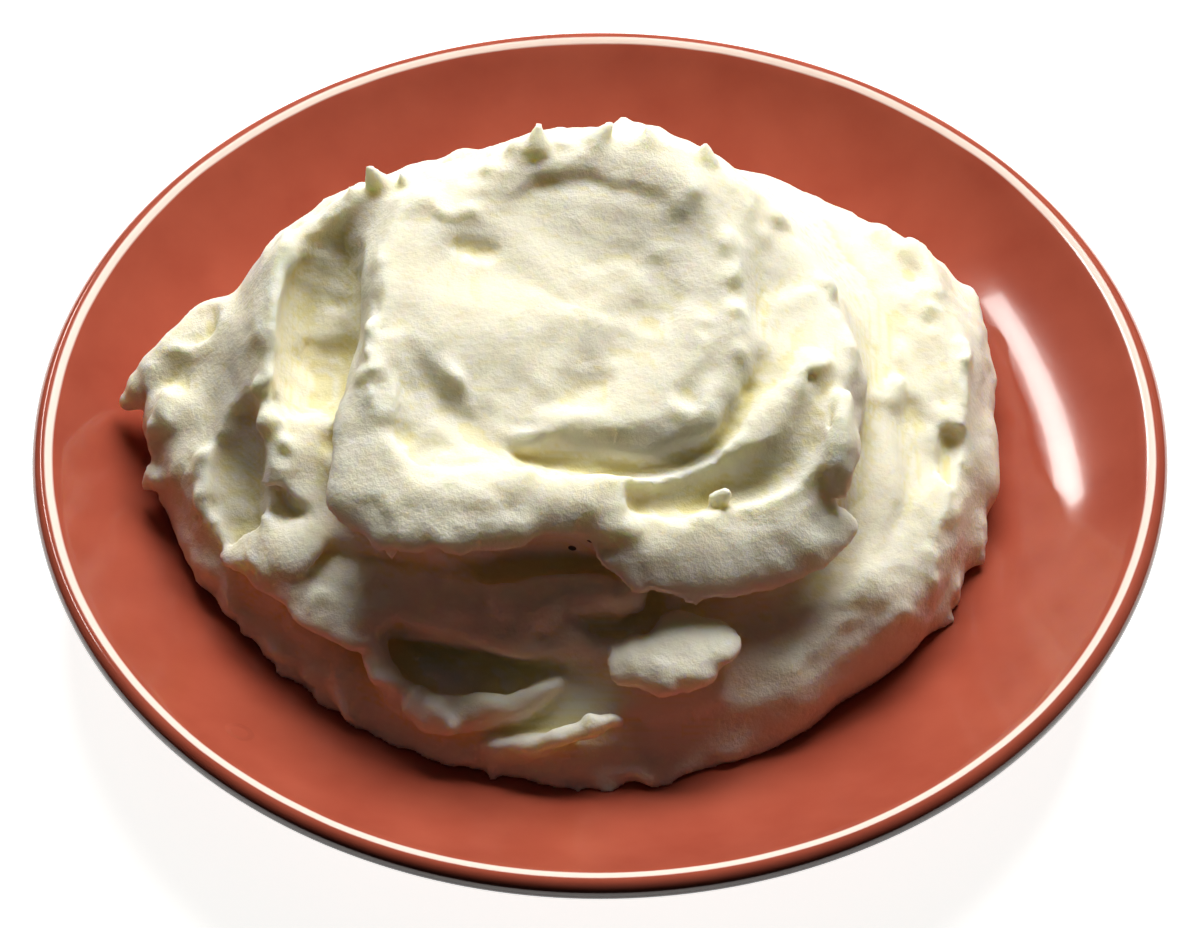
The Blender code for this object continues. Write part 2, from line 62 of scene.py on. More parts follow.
# ---- Mash, in millimetres
HEAP_AXIS = (-3.0, 2.0)
GAP = 0.05  # the fine heap touches the glaze
GRID_STEP = 0.7
GRID_LOW = (-78.0, -66.0, 3.0)
GRID_HIGH = (70.0, 70.0, 60.0)
# Dark specks of skin, each as a place and a radius.
SPECKS = (((-4.0, -31.3, 28.7), 0.75), ((-1.4, -32.6, 32.0), 0.6))

# Half sections of the heap round its axis: azimuth in degrees, 0 along +X and 270 towards the front, then
# (radius, height) pairs running from the middle out and down. The points mean the same in each section:
# middle, crater foot, dollop edge, crease, ring crest, ring lip, undercut, ledge, ledge edge, lower hollow,
# lowest crest, widest point, foot.
SECTIONS = {
    0: [(0, 44), (13, 43.5), (25, 46.5), (29, 41.5), (40.5, 39.5), (43, 33), (45, 28.5),
        (50, 26.5), (57.5, 26), (61, 19), (63.5, 14), (63.5, 10.5), (62, 6)],
    30: [(0, 44), (13, 45.3), (25, 49.5), (30, 47.5), (36.5, 42.5), (41, 35), (45, 29.5),
         (50, 27.5), (58, 27.5), (62.5, 22), (65.5, 17), (66, 12), (64, 6)],
    60: [(0, 44), (12, 46), (25, 51.5), (30, 51.5), (34.5, 48), (40, 40), (44, 34),
         (49, 29), (54.5, 24), (58, 18), (60.5, 13), (61, 10), (60, 6)],
    90: [(0, 44), (11, 46.5), (24, 51.5), (28, 53), (32, 50), (39, 42), (45, 34),
         (50, 28), (54, 22), (57, 17), (60, 12.5), (60.5, 10), (59.5, 6)],
    125: [(0, 44), (13, 45.8), (22.5, 47.6), (26.5, 47.6), (31.5, 45.6), (38, 39.6), (44.5, 33.5),
          (50, 28), (54.5, 22), (57.5, 16.5), (60, 12.5), (60.5, 10), (60, 6)],
    143: [(0, 44), (14, 44), (24, 47), (27, 46.6), (29.5, 46.4), (33, 45.6), (36, 45),
          (39, 44.8), (45, 37), (52, 26.5), (57, 16), (60, 10), (60, 6)],
    160: [(0, 44), (15, 44), (24, 46), (27, 46), (29.5, 46), (34, 38.5), (38.5, 36),
          (44, 42.5), (49.5, 35), (55, 26.5), (59, 16), (60.5, 11), (60.5, 6)],
    180: [(0, 44), (15, 44), (23, 45), (26, 45), (29, 45), (34.5, 34), (38.5, 31.5),
          (46.5, 38.5), (54, 30), (61, 22), (64, 15), (63.5, 11), (61.5, 6)],
    200: [(0, 44), (14, 43.5), (23, 44), (27, 43), (33.5, 43.5), (37.5, 34), (41.5, 31),
          (47.5, 31.3), (52.5, 26), (59.5, 20.5), (62.5, 13), (62.5, 10.5), (61, 6)],
    213: [(0, 44), (13, 43), (22, 42.5), (26, 40.5), (36, 41), (42, 37), (42.5, 30),
          (47, 26.5), (56, 21), (54.5, 16), (60, 12.5), (60.5, 10), (59, 6)],
    234: [(0, 44), (10, 42.5), (20.5, 41.5), (25.5, 39.2), (34, 39.8), (46.3, 34.5), (42, 28),
          (46, 23.5), (52.5, 19), (49, 15), (54.5, 14.5), (59.5, 9.5), (58.5, 6)],
    252: [(0, 44), (9, 42.5), (20, 41), (25, 38.2), (30.5, 38.8), (39.8, 34.8), (36.5, 27.5),
          (41, 23.3), (47, 19.5), (44, 15.5), (54, 14.5), (60, 9.5), (58.5, 6)],
    273: [(0, 44), (8, 42), (19.5, 40.5), (24.5, 37.2), (28.5, 38.2), (36.3, 34.8), (34, 27),
          (38, 23.5), (43, 21), (45, 18), (51, 13.5), (60.5, 8.5), (60, 6)],
    300: [(0, 44), (8, 42), (21.5, 41.5), (26.5, 38), (31.5, 37), (45, 28.5), (43, 24.5),
          (47, 21), (53, 18), (57.5, 16), (59.5, 13), (60, 10), (59, 6)],
    330: [(0, 44), (10, 42.5), (24.5, 44), (29.5, 40), (41.5, 38.5), (47, 31.5), (46.5, 28),
          (51, 24.5), (57, 21.5), (60.3, 18), (61, 14), (61, 10), (59.5, 6)],
}
# How crisply a section turns at each of its points.
SHARPNESS = (0, 0, 0.3, 0, 0.2, 0.9, 0, 0.5, 0.9, 0, 0.6, 0, 0)

# Strokes that finish the heap, in order. A fold lays on a roll of mash, a leaf lays on a thin torn flap
# that droops outward, and a carve draws a spoon through it. The second value is the softness of the
# join for a fold, the fall of a leaf for each millimetre outward, and the depth of the streaks for a
# carve. Each runs through points of (azimuth, radius, height, thickness), where the thickness of a leaf
# is half its width.
STROKES = [
    # points at the left edge
    ("fold", 4, [(170, 57, 24, 6), (174, 62, 20.5, 4.5)]),
    ("fold", 3, [(182, 60, 19, 6), (178.5, 64, 16.5, 3)]),
    ("fold", 3, [(189, 59, 15.5, 6), (189, 62.5, 14.5, 2)]),
    # long trough down the right side
    ("carve", 0.5, [(24, 51, 38, 9), (8, 53.5, 35, 9), (-10, 55, 32.5, 9)]),
    ("carve", 0.5, [(-8, 55, 32.5, 9), (-30, 57.5, 30, 9), (-60, 57, 25.5, 8)]),
    ("carve", 0.4, [(20, 48, 37, 6), (-10, 49.5, 33, 6), (-45, 50.5, 27.5, 6)]),
    ("carve", 0.2, [(17, 47, 33.5, 4), (13, 51, 31, 4)]),
    ("carve", 0.2, [(4, 52.5, 29, 2.5), (-2, 54.5, 26.5, 2.5)]),
    ("carve", 0.2, [(352, 57, 24, 3), (345, 57.5, 22.5, 2)]),
    # trough down the left side, the step at its end, and the scoops outside it
    ("carve", 0.25, [(161, 37, 41.5, 5), (172, 38.3, 39, 6.5), (192, 41.5, 36.5, 6)]),
    ("carve", 0.2, [(193, 53.5, 31.5, 5.5), (202, 55.5, 26, 6.5), (208, 56.5, 22.5, 5)]),
    ("carve", 0.2, [(204, 49.5, 26.5, 2.5), (214, 49, 27, 3)]),
    ("carve", 0.2, [(160, 59, 37, 5), (172, 60, 31, 5)]),
    # lip of the upper ring, and the undercut below it
    ("leaf", 0.5, [(207, 34.5, 41, 3), (215, 38.5, 39.3, 4.2), (223, 41.3, 37.5, 5)]),
    ("leaf", 0.5, [(221, 41, 37.8, 5), (228, 42, 36.8, 5.4), (236, 41.8, 36.7, 5.5)]),
    ("leaf", 0.5, [(234, 41.8, 36.7, 5.5), (252, 35.7, 36.8, 5.2), (274, 32.2, 36.6, 4.8)]),
    ("carve", 0.2, [(222, 50, 26.5, 5), (240, 46, 26, 5.5), (258, 41, 25.8, 5.2)]),
    ("carve", 0.2, [(258, 41, 25.8, 5.2), (274, 38.5, 26, 4.6), (286, 41.5, 25, 3.5)]),
    ("fold", 3, [(254, 41, 20.5, 3), (270, 38, 23.5, 3.5), (282, 39, 24.5, 3)]),
    # torn leaf on the left end of the ledge
    ("leaf", 0.5, [(216, 50, 24.5, 3.5), (211, 54, 21.5, 2.5), (209, 57.5, 18.5, 1.3)]),
    ("leaf", 0.5, [(212, 54.5, 19.5, 3), (222, 52, 20.5, 5), (240, 46.5, 21.5, 5)]),
    ("leaf", 0.5, [(239, 46.7, 21.5, 5), (254, 43, 21.5, 3.5), (266, 40.5, 22, 1.5)]),
    # hollow under the ledge, and the hooked lip beyond it
    ("carve", 0.2, [(214, 60, 16, 4), (226, 58, 16.5, 4), (236, 56.5, 18, 3)]),
    ("carve", 0.2, [(240, 51, 19.5, 2.5), (250, 50.3, 20, 3), (266, 47.5, 21, 3)]),
    ("carve", 0.2, [(240, 61, 16, 3.5), (262, 58.8, 18.5, 4)]),
    ("fold", 1.5, [(235.5, 51.5, 17, 1.8), (243, 55.5, 15, 2.6), (254, 54, 14.5, 2.8)]),
    ("fold", 1.5, [(253, 54.2, 14.5, 2.8), (260, 51.5, 15.5, 2), (266, 48.5, 17, 1)]),
    # crest, concave facet and torn flap at the right front
    ("leaf", 0.7, [(280, 36.3, 32.5, 4.5), (291, 39.7, 31.5, 5.5), (304, 42, 31.2, 5.5)]),
    ("leaf", 0.7, [(302, 42, 31.2, 5.5), (311, 43.7, 31.2, 5.5), (320, 45.5, 31.3, 5)]),
    ("leaf", 0.7, [(289, 41, 30.3, 4), (291.5, 44.3, 28, 2.5)]),
    ("fold", 1.2, [(276, 29, 37.8, 1.4), (294, 28.5, 37.4, 1.5), (320, 30.5, 37.8, 1.8)]),
    ("fold", 1.2, [(318, 30.5, 37.8, 1.8), (333, 33, 38.5, 2.2), (346, 37, 39, 2.5)]),
    ("carve", 0.1, [(286, 32.5, 37, 2.2), (300, 34.2, 38, 4), (316, 36.5, 38.5, 4.5)]),
    ("carve", 0.1, [(314, 36.5, 38.5, 4.5), (324, 38.5, 40, 4.5), (334, 39, 42.5, 4)]),
    ("fold", 1.5, [(340, 42, 39.5, 1.4), (333, 43, 38, 1.8), (326, 46, 34.5, 1.8)]),
    ("carve", 0, [(337, 40.6, 40.5, 1), (329, 42.5, 37.2, 0.9)]),
    ("fold", 0.8, [(303, 34, 34.8, 0.9), (306, 35.5, 35.6, 0.7)]),
    ("carve", 0, [(346, 35.5, 42, 1.1), (338, 37.3, 41, 1)]),
    # tongue, low front crest and its tooth
    ("leaf", 0.25, [(279.5, 48.8, 20, 3), (285, 49.3, 21, 4.4), (290, 49.6, 22, 5)]),
    ("leaf", 0.25, [(288, 49, 22, 4.5), (294, 50, 22.8, 3.6)]),
    ("fold", 2, [(258, 57.5, 11.5, 1.8), (268, 55.5, 14, 1.8), (277, 53.5, 15, 1)]),
    # crater, and the crease round the dollop
    ("carve", 0, [(110, 9, 55.8, 9), (75, 10, 55.8, 9), (40, 12, 56, 9)]),
    ("carve", 0.2, [(276, 13, 46.6, 6), (276, 15, 46.4, 6)]),
    ("fold", 1, [(262, 18, 38.8, 3), (255, 18.5, 38.8, 3)]),
    ("carve", 0.2, [(14, 23.5, 51.5, 4), (-15, 24, 49, 4), (-45, 22.5, 45.5, 4)]),
    ("carve", 0.1, [(214, 27, 46, 1), (238, 26, 40.8, 1.5), (268, 25, 38.9, 1.6)]),
    ("carve", 0.1, [(268, 25, 38.9, 1.6), (308, 28, 39, 1.6), (352, 29.5, 44, 2)]),
    ("carve", 0, [(143, 16.5, 46, 2.2), (148, 19, 46.5, 2)]),
    # lobes at the right foot
    ("fold", 2, [(359, 59, 15, 4), (352, 60.5, 13, 3.5)]),
    ("fold", 2, [(345, 59, 11, 4), (342, 60, 10, 3)]),
    ("fold", 2, [(334, 60.5, 9.5, 3.5), (331, 60.5, 9, 3)]),
]

# Small torn peaks and teeth, laid on last, each through points of (azimuth, radius, height, thickness).
PEAKS = [
    # skyline
    [(140, 35.5, 42.5, 2.5), (141, 37.5, 44.8, 1.7), (141.5, 38.5, 48, 0.6)],
    [(136.5, 33.5, 43.5, 2), (137, 34.3, 45.4, 1.1), (137.5, 34.8, 46.8, 0.4)],
    [(102, 27.5, 51.5, 2), (101, 29, 54.2, 0.5)],
    [(84, 27.5, 52, 2), (81, 29, 54.3, 0.7)],
    [(68, 28, 51.5, 2), (70, 29.3, 53.8, 0.6)],
    [(52, 31, 49.5, 2), (54.5, 32, 52, 0.6)],
    # left edge
    [(170, 58, 23, 5.5), (174.5, 64.5, 19.5, 4.2), (176.5, 69, 16.5, 1.6)],
    [(187, 58, 17, 4), (189, 65.5, 14, 0.8)],
    # right ridge and ring lip
    [(333.5, 43, 37.6, 1.6), (332.5, 45.4, 36.6, 0.5)],
    [(233.5, 45, 34, 1.6), (234.5, 46.5, 31.5, 0.6)],
    # low front crest and lobe
    [(258, 57.5, 11.5, 1.8), (258.5, 59.5, 10, 1.2), (259, 61, 8, 0.5)],
    [(232, 56, 12, 2.5), (235.5, 59.5, 10.8, 1)],
]
LEAF_THINNESS = 3.2  # width of a leaf for its thickness

SLICE_ANGLE = 3.0  # degrees between the slices that the sections are worked out on
SLICE_RADII = np.arange(0, 92.0)
SLICE_HEIGHTS = np.arange(0, 62.0)


def smooth_min(a, b, width):
    """The lesser of two distances, with their join rounded over the width."""
    overlap = np.maximum(width - np.abs(a - b), 0) / width
    return np.minimum(a, b) - overlap * overlap * width / 4


def in_space(azimuth, radius, height):
    """x, y and z of places given round the heap's axis."""
    angle = np.radians(azimuth)
    x = HEAP_AXIS[0] + radius * np.cos(angle)
    y = HEAP_AXIS[1] + radius * np.sin(angle)
    return np.stack([x, y, height], -1)


def sweep_line(points, spacing=3.0):
    """Rows of x, y, z and thickness along a smooth line through a stroke's points."""
    points = np.array(points, float)
    legs = np.linalg.norm(np.diff(in_space(*points[:, :3].T), axis=0), axis=1)
    along = np.concatenate([[0.0], np.cumsum(legs)]) / legs.sum()
    at = np.linspace(0.0, 1.0, max(2, int(legs.sum() / spacing) + 1))
    order = len(points) - 1
    azimuth, radius, height, thickness = (np.polyval(np.polyfit(along, c, order), at) for c in points.T)
    return np.column_stack([in_space(azimuth, radius, height), thickness])


def value_noise(u, v, seed, cells=64):
    """Smooth two-way noise with a feature for each unit of u and of v."""
    table = np.random.default_rng(seed).uniform(-1, 1, (cells, cells))
    i, j = np.floor(u).astype(int), np.floor(v).astype(int)
    a, b = u - i, v - j
    a, b = a * a * (3 - 2 * a), b * b * (3 - 2 * b)
    i, j, i1, j1 = i % cells, j % cells, (i + 1) % cells, (j + 1) % cells
    near = table[i, j] * (1 - a) + table[i1, j] * a
    far = table[i, j1] * (1 - a) + table[i1, j1] * a
    return near * (1 - b) + far * b


class Heap:
    """A field on a grid, in millimetres: the distance to the mash's surface, negative inside."""

    def __init__(self, step):
        self.step = step
        self.axes = [np.arange(a, b + step, step) for a, b in zip(GRID_LOW, GRID_HIGH)]
        x, y, z = np.meshgrid(*self.axes, indexing="ij")
        self.plain = x, y, z
        drift = [
            1.5 * self.noise(17, seed) + 0.8 * self.noise(8, seed + 10) + 0.25 * self.noise(4, seed + 20)
            for seed in (1, 2, 3)
        ]
        self.x, self.y, self.z = x + drift[0], y + drift[1], z + 0.8 * drift[2]
        dx, dy = self.x - HEAP_AXIS[0], self.y - HEAP_AXIS[1]
        turn = (np.degrees(np.arctan2(dy, dx)) % 360) / SLICE_ANGLE
        self.polar = turn, np.hypot(dx, dy), self.z
        self.field = None

    def noise(self, size, seed):
        """Smooth noise with features of the given size."""
        weights = [spline_weights((axis - axis[0]) / size + 1) for axis in self.axes]
        lattice = np.random.default_rng(seed).uniform(-1, 1, [w.shape[1] for w in weights])
        return 2.2 * np.einsum("ai,bj,ck,ijk->abc", *weights, lattice, optimize=True)

    def streaks(self, turn, size, seed):
        """Smooth noise drawn out round the heap, by the given turn in degrees, the way the spoon went."""
        weights = [
            spline_weights(np.arange(0, 360 + SLICE_ANGLE, SLICE_ANGLE) / turn + 1),
            spline_weights(SLICE_RADII / size + 1),
            spline_weights(SLICE_HEIGHTS / size + 1),
        ]
        lattice = np.random.default_rng(seed).uniform(-1, 1, [w.shape[1] for w in weights])
        lattice = lattice[np.arange(len(lattice)) % round(360 / turn)]
        table = 2.2 * np.einsum("ai,bj,ck,ijk->abc", *weights, lattice, optimize=True)
        return sample(table, *self.polar)

    def lay_sections(self, ease=10):
        """The body of the heap, drawn through the half sections."""
        azimuths = np.array(sorted(SECTIONS), float)
        points = np.array([SECTIONS[a] for a in sorted(SECTIONS)], float)
        around = np.concatenate([azimuths[-3:] - 360, azimuths, azimuths[:3] + 360])
        points = np.concatenate([points[-3:], points, points[:3]])
        degrees = np.arange(-60, 420)
        window = np.hanning(2 * ease + 1)
        window /= window.sum()
        slices = []
        for angle in np.arange(0, 360, SLICE_ANGLE):
            weights = np.interp(degrees, np.arange(angle - ease, angle + ease + 1), window, left=0, right=0)
            section = np.array(
                [
                    [weights @ np.interp(degrees, around, points[:, n, k]) for k in (0, 1)]
                    for n in range(points.shape[1])
                ]
            )
            slices.append(section_distance(section, SLICE_RADII, SLICE_HEIGHTS))
        slices.append(slices[0])
        self.field = sample(np.array(slices), *self.polar)

    def box_of(self, line, margin):
        """The part of the grid within a margin of a line, as slices."""
        low = (line[:, :3] - line[:, 3:]).min(0) - margin
        high = (line[:, :3] + line[:, 3:]).max(0) + margin
        ends = [np.searchsorted(axis, pair) for axis, pair in zip(self.axes, zip(low, high))]
        return tuple(slice(int(i), int(j)) for i, j in ends)

    def tube(self, line, box, streak=0.0, seed=0, thinness=1.0, droop=0.0):
        """Distance to a tapering tube, streaked along its length, or flattened and drooping outward."""
        x, y, z = self.x[box], self.y[box], self.z[box]
        best = np.full(x.shape, 1e3)
        across, along = np.zeros(x.shape), np.zeros(x.shape)
        start = 0.0
        for p, q in zip(line[:-1], line[1:]):
            d = (q - p)[:3]
            length = np.linalg.norm(d)
            t = np.clip(((x - p[0]) * d[0] + (y - p[1]) * d[1] + (z - p[2]) * d[2]) / length**2, 0, 1)
            rx, ry, rz = x - p[0] - t * d[0], y - p[1] - t * d[1], z - p[2] - t * d[2]
            thickness = p[3] + t * (q[3] - p[3])
            outward = (p[:2] + q[:2]) / 2 - HEAP_AXIS
            outward /= np.linalg.norm(outward)
            rz = (rz + droop * (rx * outward[0] + ry * outward[1])) * thinness
            distance = np.sqrt(rx * rx + ry * ry + rz * rz) - thickness
            angle = np.arctan2(rz, rx * outward[0] + ry * outward[1])
            nearer = distance < best
            across = np.where(nearer, angle * thickness, across)
            along = np.where(nearer, start + t * length, along)
            best = np.where(nearer, distance, best)
            start += length
        coarse = value_noise(across / 3.0, along / 22, seed + 40)
        fine = value_noise(across / 1.3, along / 12, seed + 60)
        return best + streak * (coarse + 0.6 * fine)

    def fold(self, points, blend):
        line = sweep_line(points)
        box = self.box_of(line, 5 + blend)
        self.field[box] = smooth_min(self.field[box], self.tube(line, box), blend)

    def leaf(self, points, droop, blend=1.2):
        line = sweep_line(points)
        box = self.box_of(line, 4)
        flap = self.tube(line, box, thinness=LEAF_THINNESS, droop=droop)
        self.field[box] = smooth_min(self.field[box], flap, blend)

    def carve(self, points, streak, seed, blend=0.6):
        line = sweep_line(points)
        box = self.box_of(line, 4)
        self.field[box] = -smooth_min(-self.field[box], self.tube(line, box, streak, seed), blend)

    def crests(self):
        """How sharply the surface turns outward, from 0 to 1."""
        soft = np.clip(self.field, -6, 6)
        reach = max(1, round(1.6 / self.step))
        for axis in (0, 0, 1, 1, 2, 2):
            shifted = [np.roll(soft, k, axis) for k in range(-reach, reach + 1)]
            soft = sum(shifted) / len(shifted)
        bend = sum(np.roll(soft, k, axis) for axis in range(3) for k in (-1, 1)) - 6 * soft
        return np.clip((bend / self.step**2 - 0.09) / 0.18, 0, 1)

    def roughen(self):
        """Tears the crests and leaves the spooned hollows smooth."""
        lumps, crumbs, swell = self.noise(3.2, 31), self.noise(1.5, 32), self.noise(6.5, 33)
        calm = np.clip(self.polar[1] / 25, 0.25, 1) * np.clip((self.z - 6) / 14, 0.2, 1)
        layers = self.streaks(30, 6, 34) + 0.35 * lumps + 0.12 * crumbs
        step = np.clip(0.5 + 2.2 * layers, 0, 1)
        step = step * step * (3 - 2 * step)
        lines = self.streaks(24, 2.0, 35)
        self.field -= calm * (0.9 * step - 0.4 + 0.35 * lines + 0.12 * lumps + 0.2 * swell)
        self.field -= 0.12 * crumbs
        ragged = np.clip(0.5 + 1.5 * self.noise(9, 36), 0, 1)
        self.field -= self.crests() * ragged * (0.55 * lumps + 0.9 * crumbs)

    def rest_on_plate(self):
        x, y, z = self.plain
        self.field = np.maximum(self.field, plate_top(np.hypot(x, y)) + GAP - z)

    def surface(self):
        """Points and faces where the field is 0."""
        grid = openvdb.FloatGrid(8.0)
        grid.copyFromArray(np.ascontiguousarray(np.clip(self.field, -8, 8), dtype=np.float32))
        points, quads = grid.convertToQuads(isovalue=0.0)
        return largest_shell(points * self.step + GRID_LOW, quads)


def largest_shell(points, quads):
    """The largest connected shell, without loose crumbs and sealed bubbles."""
    label = np.arange(len(points))
    settled = False
    while not settled:
        lower = label.copy()
        np.minimum.at(lower, quads.ravel(), np.repeat(label[quads].min(1), 4))
        lower = lower[lower]
        settled = np.array_equal(lower, label)
        label = lower
    shell = label[quads[:, 0]]
    quads = quads[shell == np.bincount(shell).argmax()]
    used, corners = np.unique(quads, return_inverse=True)
    return points[used], corners.reshape(-1, 4)


def spline_weights(places):
    """Weights of the whole numbers round each place, for a cubic spline through noise."""
    d = np.abs(places[:, None] - np.arange(int(places[-1]) + 4))
    inner = 2 / 3 - d * d + d**3 / 2
    outer = (2 - d) ** 3 / 6
    return np.where(d < 1, inner, np.where(d < 2, outer, 0))


def section_distance(section, radius, height):
    """Distance from each grid point to a half section, negative inside."""
    tangents = np.zeros_like(section)
    tangents[1:-1] = (section[2:] - section[:-2]) / 2 * (1 - np.array(SHARPNESS)[1:-1, None])
    tangents[0] = (section[1] - section[0]) * (1, 0)
    tangents[-1] = section[-1] - section[-2]
    t = np.linspace(0, 1, 7)[:-1, None]
    curve = [(-5.0, section[0][1])]
    for a, b, ta, tb in zip(section[:-1], section[1:], tangents[:-1], tangents[1:]):
        length = np.linalg.norm(b - a)
        ta = ta * min(1, length / max(1e-6, np.linalg.norm(ta)))
        tb = tb * min(1, length / max(1e-6, np.linalg.norm(tb)))
        leg = (2 * t**3 - 3 * t**2 + 1) * a + (t**3 - 2 * t**2 + t) * ta
        curve.extend(leg + (3 * t**2 - 2 * t**3) * b + (t**3 - t**2) * tb)
    curve.extend([section[-1], (section[-1][0], -8.0)])
    r, z = np.meshgrid(radius, height, indexing="ij")
    best = np.full(r.shape, 1e3)
    above = np.zeros(r.shape, int)
    for a, b in zip(curve[:-1], curve[1:]):
        dr, dz = b[0] - a[0], b[1] - a[1]
        t = np.clip(((r - a[0]) * dr + (z - a[1]) * dz) / max(1e-9, dr * dr + dz * dz), 0, 1)
        best = np.minimum(best, np.hypot(r - a[0] - t * dr, z - a[1] - t * dz))
        crosses = (a[0] <= r) != (b[0] <= r)
        above += crosses & (a[1] + (r - a[0]) / (dr or 1e-9) * dz > z)
    return np.where(above % 2 == 1, -best, best)


def sample(table, turn, radius, height):
    """The table's value between its entries, at each place of the grid."""
    place = []
    for value, size in zip((turn, radius, height), table.shape):
        value = np.clip(value, 0, size - 1.001)
        place.append((value.astype(int), value - value.astype(int)))
    (i, a), (j, b), (k, c) = place
    total = np.zeros(turn.shape)
    for di, wa in ((0, 1 - a), (1, a)):
        for dj, wb in ((0, 1 - b), (1, b)):
            for dk, wc in ((0, 1 - c), (1, c)):
                total += wa * wb * wc * table[i + di, j + dj, k + dk]
    return total


def plate_top(radius):
    """Height of the plate's upper face between its middle and its rim."""
    rise = np.clip((radius - FLOOR_RADIUS) / (CREST_RADIUS - FLOOR_RADIUS), 0.0, None)
    return FLOOR_TOP + (CREST_HEIGHT - FLOOR_TOP) * rise**2


# ---- Materials


class Nodes:
    """Short calls for building a material's node tree."""

    def __init__(self, name):
        self.material = bpy.data.materials.new(name)
        self.material.use_nodes = True
        self.tree = self.material.node_tree
        self.shader = self.tree.nodes["Principled BSDF"]

    def add(self, kind, settings=(), **inputs):
        node = self.tree.nodes.new(kind)
        for key, value in dict(settings).items():
            setattr(node, key, value)
        for key, value in inputs.items():
            self.feed(node.inputs[key.replace("_", " ")], value)
        return node

    def feed(self, socket, value):
        if isinstance(value, bpy.types.NodeSocket):
            self.tree.links.new(value, socket)
        else:
            socket.default_value = value

    def math(self, operation, a, b=0.0):
        node = self.tree.nodes.new("ShaderNodeMath")
        node.operation = operation
        self.feed(node.inputs[0], a)
        self.feed(node.inputs[1], b)
        return node.outputs[0]

    def ramp(self, factor, stops):
        node = self.tree.nodes.new("ShaderNodeValToRGB")
        while len(node.color_ramp.elements) < len(stops):
            node.color_ramp.elements.new(0.5)
        for element, (at, colour) in zip(node.color_ramp.elements, stops):
            element.position = at
            element.color = (*colour, 1.0)
        self.feed(node.inputs[0], factor)
        return node.outputs["Color"]

    def noise(self, scale, detail, roughness=0.5):
        """Noise whose scale is in features per metre."""
        place = self.add("ShaderNodeTexCoord").outputs["Object"]
        inputs = {"Vector": place, "Scale": scale, "Detail": detail, "Roughness": roughness}
        return self.add("ShaderNodeTexNoise", **inputs).outputs[0]

    def mix(self, factor, a, b):
        node = self.tree.nodes.new("ShaderNodeMix")
        node.data_type = "RGBA"
        self.feed(node.inputs["Factor"], factor)
        for socket, value in ((node.inputs[6], a), (node.inputs[7], b)):
            self.feed(socket, value if isinstance(value, bpy.types.NodeSocket) else (*value, 1.0))
        return node.outputs[2]

    def bump(self, height, distance, normal=None):
        node = self.add("ShaderNodeBump", Height=height, Distance=distance, Strength=1.0)
        if normal is not None:
            self.tree.links.new(normal, node.inputs["Normal"])
        return node.outputs[0]

    def spot(self, at, radius):
        """1 at a point given in millimetres, falling to 0 at the radius."""
        place = self.add("ShaderNodeTexCoord").outputs["Object"]
        node = self.tree.nodes.new("ShaderNodeVectorMath")
        node.operation = "DISTANCE"
        self.feed(node.inputs[0], place)
        self.feed(node.inputs[1], [v * MM for v in at])
        near = self.math("SUBTRACT", 1.0, self.math("DIVIDE", node.outputs["Value"], radius * MM))
        return self.math("MAXIMUM", near, 0.0)

    def set(self, **values):
        for key, value in values.items():
            self.feed(self.shader.inputs[key.replace("_", " ")], value)


def mash_material():
    n = Nodes("mashed_potato")
    patches = n.noise(60.0, 3.0)
    grain = n.noise(1000.0, 3.0, 0.65)
    cream = n.ramp(patches, [(0.35, (0.88, 0.83, 0.66)), (0.65, (0.90, 0.86, 0.72))])
    hollow = n.add("ShaderNodeAttribute", {"attribute_name": "hollow"}).outputs["Fac"]
    # Painted shade and painted light: hollows are painted darker and yellower for the light bouncing in
    # them, partly the yellow of butter, and crests are painted whiter where the light catches them.
    painted_hollow_shade = n.ramp(hollow, [(0.53, (0, 0, 0)), (0.68, (1, 1, 1))])
    crest = n.ramp(hollow, [(0.34, (1, 1, 1)), (0.48, (0, 0, 0))])
    cream = n.mix(painted_hollow_shade, cream, (0.83, 0.75, 0.36))
    cream = n.mix(crest, cream, (0.93, 0.90, 0.73))
    specks = n.math("MAXIMUM", *[n.spot(at, radius) for at, radius in SPECKS])
    n.set(Base_Color=n.mix(n.math("GREATER_THAN", specks, 0.2), cream, (0.05, 0.04, 0.03)))
    n.set(Roughness=0.5, IOR=1.4, Subsurface_Weight=0.6, Subsurface_Scale=0.004)
    n.set(Subsurface_Radius=(1.0, 0.85, 0.45))
    n.set(Specular_IOR_Level=0.35)
    n.set(Normal=n.bump(grain, 0.00018))
    return n.material


